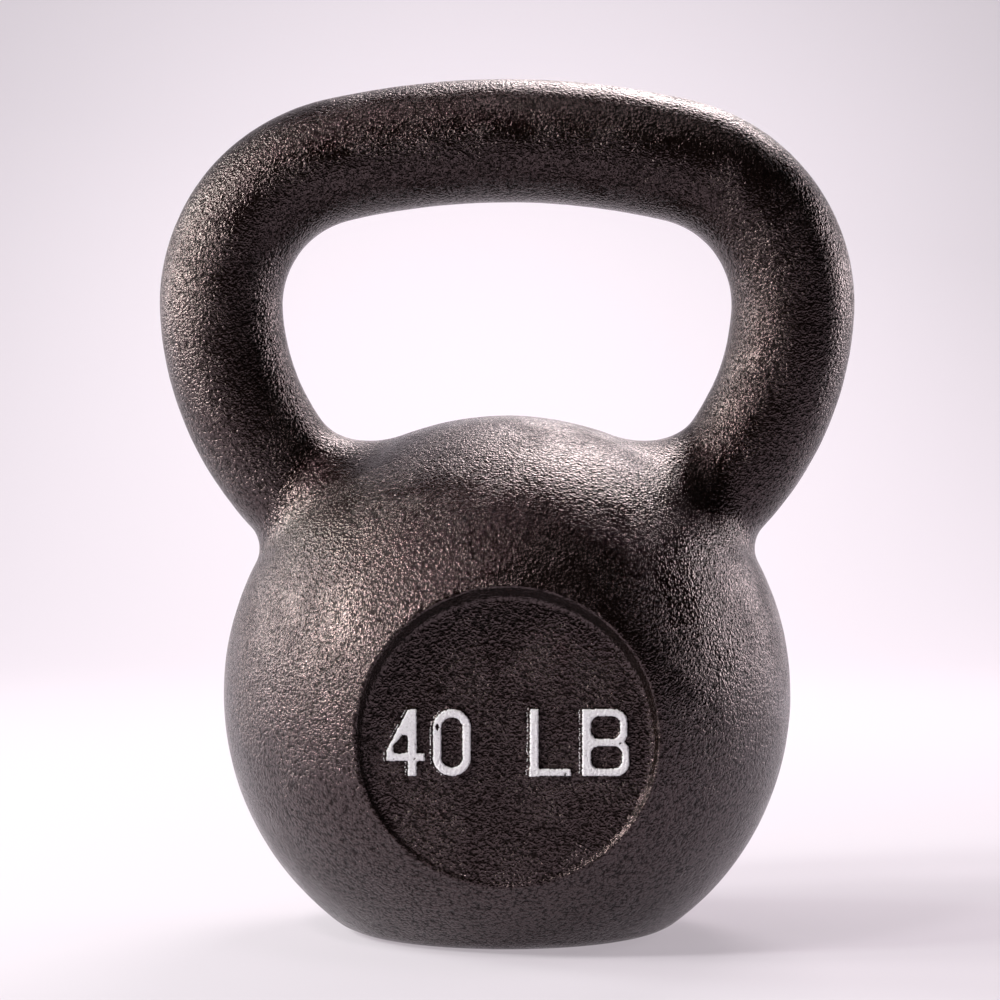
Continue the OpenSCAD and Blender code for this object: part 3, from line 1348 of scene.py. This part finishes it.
@dataclass
class Character:
    """One raised character with its film of paint, drawn from its left foot.

    Attributes:
        at: The frame's places.
        name: Name of the character, as in its film's node.
        chips: Places where the paint has come off, each with a radius.
        seed: Seed of its unevenness.
        stroke: Width of the strokes.
        rim: Bare rim that the frame's films leave round their edges.
        draft: Draft of the walls.
        edge: Rounding of the upper edges.
        foot: Flare where the walls rise from the floor.
        rooted: How deep the character is rooted in the floor.
        film_t: Thickness of the paint.
        cell: Spacing of the meshes.
        rough: Pitch and height of the outline's broad raggedness.
        fray: The same of its fine raggedness.
        dimple: The same of the unevenness of the top.
        tear: The same of the film's broad unevenness at its edge.
        nibble: The same of its fine unevenness.
        pit: Pitch and size of the pits in the film.
        pit_level: How high the waves must go to make a pit.
        shy: How far the film stays short of the outline.
        feather: Distance over which it thins to nothing.
        film_foot: How far down the walls it reaches, as a share of their height from the floor.
        sunk: How deep its underside lies in the iron.
        sill: How far below the floor the iron's flare starts.
        skirt: How far past the flare the iron is kept.
    """

    at: Places
    name: str
    chips: tuple[tuple[float, float, float], ...]
    seed: int
    stroke: float = 2.4 * MM
    rim: float = 0.15 * MM
    draft: float = math.radians(16.0)
    edge: float = 0.25 * MM
    foot: float = 0.5 * MM
    rooted: float = 0.9 * MM
    film_t: float = 0.15 * MM
    cell: float = 0.13 * MM
    rough: tuple[float, float] = (1.7 * MM, 0.05 * MM)
    fray: tuple[float, float] = (0.7 * MM, 0.035 * MM)
    dimple: tuple[float, float] = (1.2 * MM, 0.04 * MM)
    tear: tuple[float, float] = (1.1 * MM, 0.10 * MM)
    nibble: tuple[float, float] = (0.5 * MM, 0.08 * MM)
    pit: tuple[float, float] = (0.55 * MM, 0.30 * MM)
    pit_level: float = 1.9
    shy: float = 0.02 * MM
    feather: float = 0.22 * MM
    film_foot: float = 0.35
    sunk: float = 0.3 * MM
    sill: float = 0.1 * MM
    skirt: float = 0.3 * MM

    def __post_init__(self) -> None:
        """Read the character's place and size from its film's box."""
        low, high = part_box(f"paint_{self.name}")
        self.left = low[0] - self.rim
        self.base = low[2] - self.rim
        self.w = high[0] - low[0] + 2.0 * self.rim
        self.h = high[2] - low[2] + 2.0 * self.rim

    def outline(self, points: Array) -> Array:
        """Measure the character's flat outline.

        Args:
            points: Rows of two coordinates, right and up from the left foot.

        Returns:
            Signed distances.
        """
        raise NotImplementedError

    def _flat(self, points: Array) -> tuple[Array, Array]:
        """Split points into their place on the face and their height above its floor."""
        flat = np.stack([points[:, 0] - self.left, points[:, 2] - self.base], axis=1)
        return flat, self.at.face_y - points[:, 1]

    def _uneven(self, flat: Array, order: int, pitch: float, height: float) -> Array:
        """Read the waves of one pitch and height that come at one place in the order of seeds."""
        return height * Waves(pitch, self.seed + order).at(flat)

    def _ragged(self, flat: Array) -> Array:
        """Measure the outline as the mould left it, a little ragged."""
        return self.outline(flat) + self._uneven(flat, 0, *self.rough) + self._uneven(flat, 1, *self.fray)

    def block(self, points: Array) -> Array:
        """Measure the raised block: drafted walls and a slightly uneven top with round edges.

        Args:
            points: Places, one row each.

        Returns:
            Signed distances.
        """
        flat, rise = self._flat(points)
        lean = (rise - self.at.raised / 2.0) * math.tan(self.draft)
        wall = (self._ragged(flat) + lean) * math.cos(self.draft)
        top = rise - self.at.raised - self._uneven(flat, 2, *self.dimple)
        return trim(wall, top, self.edge)

    def iron(self, points: Array) -> Array:
        """Measure the raised iron, which flares at its foot and is rooted in the floor.

        Args:
            points: Places, one row each.

        Returns:
            Signed distances.
        """
        flat, rise = self._flat(points)
        flared = join(self.block(points), rise + self.sill, self.foot)
        kept = np.maximum(flared, self.outline(flat) - self.foot - self.skirt)
        return np.maximum(kept, -rise - self.rooted)

    def film(self, points: Array) -> Array:
        """Measure the film of paint, which thins to nothing at its ragged edge and round its chips.

        Args:
            points: Places, one row each.

        Returns:
            Signed distances.
        """
        flat, rise = self._flat(points)
        torn = self._uneven(flat, 3, *self.tear) + self._uneven(flat, 4, *self.nibble)
        pitch, size = self.pit
        pits = size * (self.pit_level - self._uneven(flat, 5, pitch, 1.0))
        inset = np.minimum(-self.outline(flat) - self.shy + torn, pits)
        for across, up, radius in self.chips:
            gap = np.linalg.norm(flat - np.array([across, up]), axis=1) - radius
            inset = np.minimum(inset, gap + 2.0 * torn)
        cover = self.film_t * np.clip(inset / self.feather, -2.0, 1.0)
        block = self.block(points)
        laid = np.maximum(block - cover, -block - self.sunk)
        return np.maximum(laid, self.film_foot * self.at.raised - rise)

    def _piece(self, name: str, shape: Shape, low_rise: float, high_rise: float) -> bpy.types.Object:
        """Mesh one of the character's shapes.

        Args:
            name: Name of the piece.
            shape: The shape.
            low_rise: Height of its underside above the floor.
            high_rise: Height of its top.

        Returns:
            The piece.
        """
        margin = self.foot + 0.7 * MM
        cell = self.cell
        low = np.array([self.left - margin, self.at.face_y - high_rise - 3 * cell, self.base - margin])
        high = np.array(
            [self.left + self.w + margin, self.at.face_y - low_rise + 3 * cell, self.base + self.h + margin]
        )
        vertices, quads = skin_over(shape, low, high, cell)
        vertices = settle(shape, vertices, rounds=2, longest=0.5 * cell)
        return piece_from(name, vertices, quads)

    def build(self) -> tuple[bpy.types.Object, bpy.types.Object]:
        """Build the raised iron and the film on it.

        Returns:
            Both pieces.
        """
        raised = self._piece(f"raised_{self.name}", self.iron, -self.rooted, self.at.raised)
        film = self._piece(
            f"white_{self.name}", self.film, self.film_foot * self.at.raised, self.at.raised + self.film_t
        )
        return raised, film


class Four(Character):
    """The four: a closed head with a small counter, on an upright with a crossbar."""

    def outline(self, points: Array) -> Array:
        """Measure the outline.

        Args:
            points: Rows of two coordinates, right and up from the left foot.

        Returns:
            Signed distances.
        """
        right = self.w - 2.2 * MM
        left = right - self.stroke
        bar_low = 4.1 * MM
        bar_high = bar_low + 0.85 * self.stroke
        head = [
            (0.4 * MM, bar_low + 0.2 * MM),
            (right - 0.2 * MM, bar_low + 0.2 * MM),
            (right - 0.2 * MM, self.h - 0.2 * MM),
            (left + 0.2 * MM, self.h - 0.2 * MM),
            (0.4 * MM, bar_high + 0.7 * MM),
        ]
        hollow = 0.9 * MM
        counter = [
            (2.0 * MM + hollow, bar_high + hollow),
            (left - hollow, bar_high + hollow),
            (left - hollow, 10.3 * MM),
            (left - 1.1 * hollow, 10.3 * MM),
            (2.0 * MM + hollow, 8.0 * MM),
        ]
        closed = np.maximum(polygon_rule(points, head, 0.2 * MM), -polygon_rule(points, counter, hollow))
        upright = box_rule(points, (left, 0.0), (right, self.h), 0.3 * MM)
        tail = box_rule(points, (left, bar_low), (self.w, bar_high), 0.3 * MM)
        return np.minimum(closed, join(upright, tail, 0.6 * MM))


class Zero(Character):
    """The zero: a ring with half-round ends."""

    def outline(self, points: Array) -> Array:
        """Measure the outline.

        Args:
            points: Rows of two coordinates, right and up from the left foot.

        Returns:
            Signed distances.
        """
        side = self.stroke * 0.95
        outer = box_rule(points, (0.0, 0.0), (self.w, self.h), self.w / 2.0)
        inner = box_rule(points, (side, side), (self.w - side, self.h - side), self.w / 2.0 - side)
        return np.maximum(outer, -inner)


class Ell(Character):
    """The L: an upright and a lighter foot."""

    def outline(self, points: Array) -> Array:
        """Measure the outline.

        Args:
            points: Rows of two coordinates, right and up from the left foot.

        Returns:
            Signed distances.
        """
        upright = box_rule(points, (0.0, 0.0), (self.stroke, self.h), 0.25 * MM)
        foot = box_rule(points, (0.0, 0.0), (self.w, 0.8 * self.stroke), 0.25 * MM)
        return join(upright, foot, 0.7 * MM)


class Bee(Character):
    """The B: two bowls that share their middle stroke, the upper one narrower."""

    def outline(self, points: Array) -> Array:
        """Measure the outline.

        Args:
            points: Rows of two coordinates, right and up from the left foot.

        Returns:
            Signed distances.
        """
        thin = 0.82 * self.stroke
        bowl = (self.h + thin) / 2.0
        upper_w = self.w - 0.5 * MM
        back = box_rule(points, (0.0, 0.0), (0.7 * self.w, self.h), 0.3 * MM)
        lower = box_rule(points, (0.4 * self.w, 0.0), (self.w, bowl), 3.6 * MM)
        upper = box_rule(points, (0.4 * self.w, self.h - bowl), (upper_w, self.h), 3.6 * MM)
        body = np.minimum(back, np.minimum(lower, upper))
        low_counter = box_rule(points, (self.stroke, thin), (self.w - thin, bowl - thin), 2.2 * MM)
        high_counter = box_rule(
            points, (self.stroke, self.h - bowl + thin), (upper_w - thin, self.h - thin), 2.2 * MM
        )
        return np.maximum(body, -np.minimum(low_counter, high_counter))


@dataclass
class Specks:
    """White specks on the face at the left-hand feet of the characters, partly paint that the brush left and
    partly painted glints of the light from the left.

    Attributes:
        at: The frame's places.
        characters: The characters that they lie beside.
        aside: How far outside a character they lie.
        scatter: How far they stray from there.
        pitch: Spacing of the places where a speck may lie.
        chance: Share of those places that have one.
        size: Radius of a middling speck.
        seed: Seed of the scatter.
    """

    at: Places
    characters: list[Character]
    aside: float = 0.70 * MM
    scatter: float = 0.10 * MM
    pitch: float = 0.36 * MM
    chance: float = 0.55
    size: float = 0.14 * MM
    seed: int = 5

    def _places(self) -> Array:
        """Find places on the face just outside the characters, on their left.

        Returns:
            The places, one row each.
        """
        random = np.random.default_rng(self.seed)
        places = []
        for character in self.characters:
            across = np.arange(-1.0 * MM, character.w, 0.05 * MM)
            for up in np.arange(0.5 * MM, character.h, self.pitch):
                stray, lift = random.normal(0.0, self.scatter, 2)
                if random.random() > self.chance:
                    continue
                row = np.stack([across, np.full_like(across, up)], axis=1)
                edge = across[np.argmax(character.outline(row) < 0.0)]
                left = character.left + edge - self.aside + stray
                places.append((left, self.at.face_y + 0.4 * self.size, character.base + up + lift))
        return np.array(places)

    def _tree(self) -> Grower:
        """Build the tree that puts a small uneven blob at every place.

        Returns:
            The tree.
        """
        grower = Grower("paint_specks")
        size = grower.ask("Size")
        seed = grower.ask("Seed", "NodeSocketInt")
        blob = grower.add("GeometryNodeMeshIcoSphere", size, 2)
        smallest, largest = (0.5, 0.7, 0.5), (1.3, 1.0, 1.9)
        uneven = grower.add(
            "FunctionNodeRandomValue", smallest, largest, None, seed, data_type="FLOAT_VECTOR"
        )
        blobs = grower.add("GeometryNodeInstanceOnPoints", grower.geometry)
        grower.feed(blobs, Instance=blob.outputs[0], Scale=uneven.outputs[0])
        grower.end(blobs.outputs[0])
        return grower

    def build(self, paint: bpy.types.Material) -> bpy.types.Object:
        """Build the specks and tie them to the frame.

        Args:
            paint: The white paint.

        Returns:
            The piece.
        """
        # Painted glints as well as stray paint: white specks only along the lit left-hand feet.
        piece = seed_object("white_specks", self._places(), [])
        self._tree().grow(piece, Size=self.size, Seed=self.seed, Material=paint)
        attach(piece, "root")
        return piece


@dataclass
class WeightMark:
    """The weight on the face: raised characters with white paint on their tops and specks beside them, partly
    stray paint and partly painted glints.

    Attributes:
        at: The frame's places.
        enamel: The enamel on the raised iron.
        paint: The white paint.
    """

    at: Places
    enamel: bpy.types.Material
    paint: bpy.types.Material

    def characters(self) -> list[Character]:
        """List the characters, left to right, with the chips in their paint.

        Returns:
            The characters.
        """
        return [
            Four(self.at, "four", ((2.2 * MM, 4.4 * MM, 0.16 * MM), (7.9 * MM, 4.7 * MM, 0.2 * MM)), 11),
            Zero(self.at, "zero", ((1.2 * MM, 13.3 * MM, 0.75 * MM),), 23),
            Ell(self.at, "l", ((9.6 * MM, 0.3 * MM, 0.4 * MM),), 37),
            Bee(self.at, "b", ((10.3 * MM, 9.0 * MM, 0.15 * MM),), 53),
        ]

    def build(self) -> list[bpy.types.Object]:
        """Build every character and tie its pieces to the frame.

        Returns:
            The pieces.
        """
        pieces = []
        characters = self.characters()
        for character in characters:
            raised, film = character.build()
            raised.data.materials.append(self.enamel)
            film.data.materials.append(self.paint)
            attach(raised, "root")
            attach(film, "root")
            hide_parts(f"paint_{character.name}")
            pieces += [raised, film]
        pieces.append(Specks(self.at, characters).build(self.paint))
        return pieces


# ------------------------------------------------------------------------------------- studio


def aim(holder: bpy.types.Object, target: Vector, away: Vector) -> bpy.types.Object:
    """Stand a light away from a target by a vector, turn it to face the target, and return it.

    Args:
        holder: The light.
        target: What it faces.
        away: The way from the target to the light.

    Returns:
        The light.
    """
    holder.location = target + away
    holder.rotation_euler = (-away).to_track_quat("-Z", "Y").to_euler()
    return holder


@dataclass(frozen=True)
class Softbox:
    """A soft rectangular light.

    Attributes:
        name: Name of the light.
        azimuth: Where it stands round the object, in degrees from the front, growing to the right.
        elevation: How high it stands, in degrees.
        distance: How far it is from the ball's centre.
        size: Its width and height.
        power: Its power in watts.
        colour: Its colour.
    """

    name: str
    azimuth: float
    elevation: float
    distance: float
    size: tuple[float, float]
    power: float
    colour: Colour

    def place(self, target: Vector) -> bpy.types.Object:
        """Set the light up, facing a target.

        Args:
            target: What it faces.

        Returns:
            The light.
        """
        light = bpy.data.lights.new(self.name, "AREA")
        light.shape = "RECTANGLE"
        light.size, light.size_y = self.size
        light.energy = self.power
        light.color = self.colour
        turn, rise = math.radians(self.azimuth), math.radians(self.elevation)
        away = Vector((math.sin(turn) * math.cos(rise), -math.cos(turn) * math.cos(rise), math.sin(rise)))
        return aim(add_object(self.name, light), target, self.distance * away)


@dataclass(frozen=True)
class Snoot:
    """A narrow light on the face, from the left in front.

    Attributes:
        turn: Where it stands round the face, in degrees from the front, growing to the left.
        rise: How much higher than the face's centre it stands.
        power: Its power in watts.
        spread: Full angle of its beam, in degrees.
        fade: Share of the beam over which its edge fades.
        softness: Radius of the lamp.
        squash: Height of the lit spot over its width.
    """

    turn: float = 60.0
    rise: float = 0.08
    power: float = 150.0
    spread: float = 2.9
    fade: float = 0.5
    softness: float = 0.07
    squash: float = 0.65

    def place(self, target: Vector) -> bpy.types.Object:
        """Set the light up, a metre out from a target and facing it.

        Args:
            target: What it faces.

        Returns:
            The light.
        """
        light = bpy.data.lights.new("snoot", "SPOT")
        light.energy = self.power
        light.spot_size = math.radians(self.spread)
        light.spot_blend = self.fade
        light.shadow_soft_size = self.softness
        turn = math.radians(self.turn)
        away = Vector((-math.sin(turn), -math.cos(turn), self.rise))
        holder = aim(add_object("snoot", light), target, away)
        holder.scale = (1.0, self.squash, 1.0)
        return holder


@dataclass
class Studio:
    """The camera, the seamless paper and the soft lights.

    Attributes:
        at: The frame's places.
        lens: Focal length of the camera in millimetres, on a 36 mm sensor.
        distance: How far the camera is from the ball's centre.
        elevation: How far it looks down on the ball's centre from, in degrees.
        pitch: How far it is tilted down, in degrees.
        aside: How far it stands to the left.
        paper_half_w: Half the width of the paper.
        paper_front: Where the paper's front edge lies along Y.
        paper_back: Where its wall stands along Y.
        paper_bend: Radius of the bend between its floor and its wall.
        paper_top: Height of its wall.
        aim_rise: How far above the ball's centre the lights aim.
        room: Colour of the room's own light.
        room_level: Strength of that light.
    """

    at: Places
    lens: float = 136.9
    distance: float = 1.1
    elevation: float = 5.0
    pitch: float = 2.1
    aside: float = 2.05 * MM
    paper_half_w: float = 2.0
    paper_front: float = -0.6
    paper_back: float = 1.6
    paper_bend: float = 0.7
    paper_top: float = 2.2
    aim_rise: float = 0.03
    room: Colour = (0.90, 0.72, 0.72)
    room_level: float = 0.012

    def camera(self) -> bpy.types.Object:
        """Set up the camera.

        Returns:
            The camera.
        """
        camera = bpy.data.cameras.new("camera")
        camera.lens = self.lens
        camera.clip_start = 0.05
        camera.dof.use_dof = False
        holder = add_object("camera", camera)
        rise = math.radians(self.elevation)
        holder.location = (
            -self.aside,
            -self.distance * math.cos(rise),
            self.at.ball_z + self.distance * math.sin(rise),
        )
        holder.rotation_euler = (math.radians(90.0 - self.pitch), 0.0, 0.0)
        bpy.context.scene.camera = holder
        return holder

    def paper(self) -> bpy.types.Object:
        """Hang the seamless paper: a floor that curves up into a wall behind the object.

        Returns:
            The paper.
        """
        back, bend, steps = self.paper_back, self.paper_bend, 24
        profile = [(self.paper_front, 0.0)]
        for step in range(steps + 1):
            turn = math.pi / 2 * step / steps
            profile.append((back - bend + bend * math.sin(turn), bend - bend * math.cos(turn)))
        profile.append((back, self.paper_top))
        points = [(side * self.paper_half_w, y, z) for y, z in profile for side in (-1, 1)]
        faces = [(2 * i, 2 * i + 1, 2 * i + 3, 2 * i + 2) for i in range(len(profile) - 1)]
        sheet = piece_from("seamless_paper", np.array(points), np.array(faces))
        sheet.data.materials.append(SeamlessPaper().material())
        return sheet

    def lights(self) -> None:
        """Set up the lights."""
        target = Vector((0.0, 0.0, self.at.ball_z + self.aim_rise))
        pale, rose = (0.96, 1.0, 0.90), (1.0, 0.88, 0.89)
        boxes = [
            Softbox("high_left", -105.0, 24.0, 1.2, (0.30, 0.40), 8.5, pale),
            Softbox("low_left", -84.0, 15.0, 1.2, (0.25, 0.35), 12.5, (1.0, 0.93, 0.88)),
            Softbox("rear_left", -130.0, 8.0, 1.2, (0.50, 0.35), 2.0, rose),
            Softbox("rear_right", 127.0, 12.0, 1.2, (0.40, 0.50), 5.5, rose),
            Softbox("top_back", 165.0, 40.0, 1.2, (0.50, 0.40), 9.0, (1.0, 0.89, 0.88)),
            Softbox("front_left", -62.0, 30.0, 1.2, (0.20, 0.20), 8.0, pale),
            Softbox("high_front", -45.0, 50.0, 1.2, (0.20, 0.20), 4.0, rose),
            Softbox("overhead", 0.0, 88.0, 1.2, (0.40, 0.40), 2.0, rose),
        ]
        for box in boxes:
            box.place(target)
        Snoot().place(Vector((0.0, self.at.face_y, self.at.face_z)))
        world = bpy.data.worlds.new("room")
        world.use_nodes = True
        glow = world.node_tree.nodes["Background"]
        plug(glow.inputs["Color"], (*self.room, 1.0))
        plug(glow.inputs["Strength"], self.room_level)
        bpy.context.scene.world = world

    def look(self) -> None:
        """Show colours as they are lit."""
        bpy.context.scene.view_settings.view_transform = "Standard"


def main() -> None:
    """Build the scene."""
    logging.basicConfig(level=logging.INFO, format="%(name)s: %(message)s")
    at = Places.read()
    studio = Studio(at)
    studio.camera()
    studio.paper()
    studio.lights()
    studio.look()
    enamel = TexturedEnamel().material()
    casting = Casting(at)
    body = casting.build(enamel)
    casting.dress(body)
    pieces = [body] + WeightMark(at, enamel, WhiteEnamel().material()).build()
    for piece in pieces:
        LOG.info("%s: %d vertices, %d faces", piece.name, len(piece.data.vertices), len(piece.data.polygons))


if __name__ == "__main__":
    main()
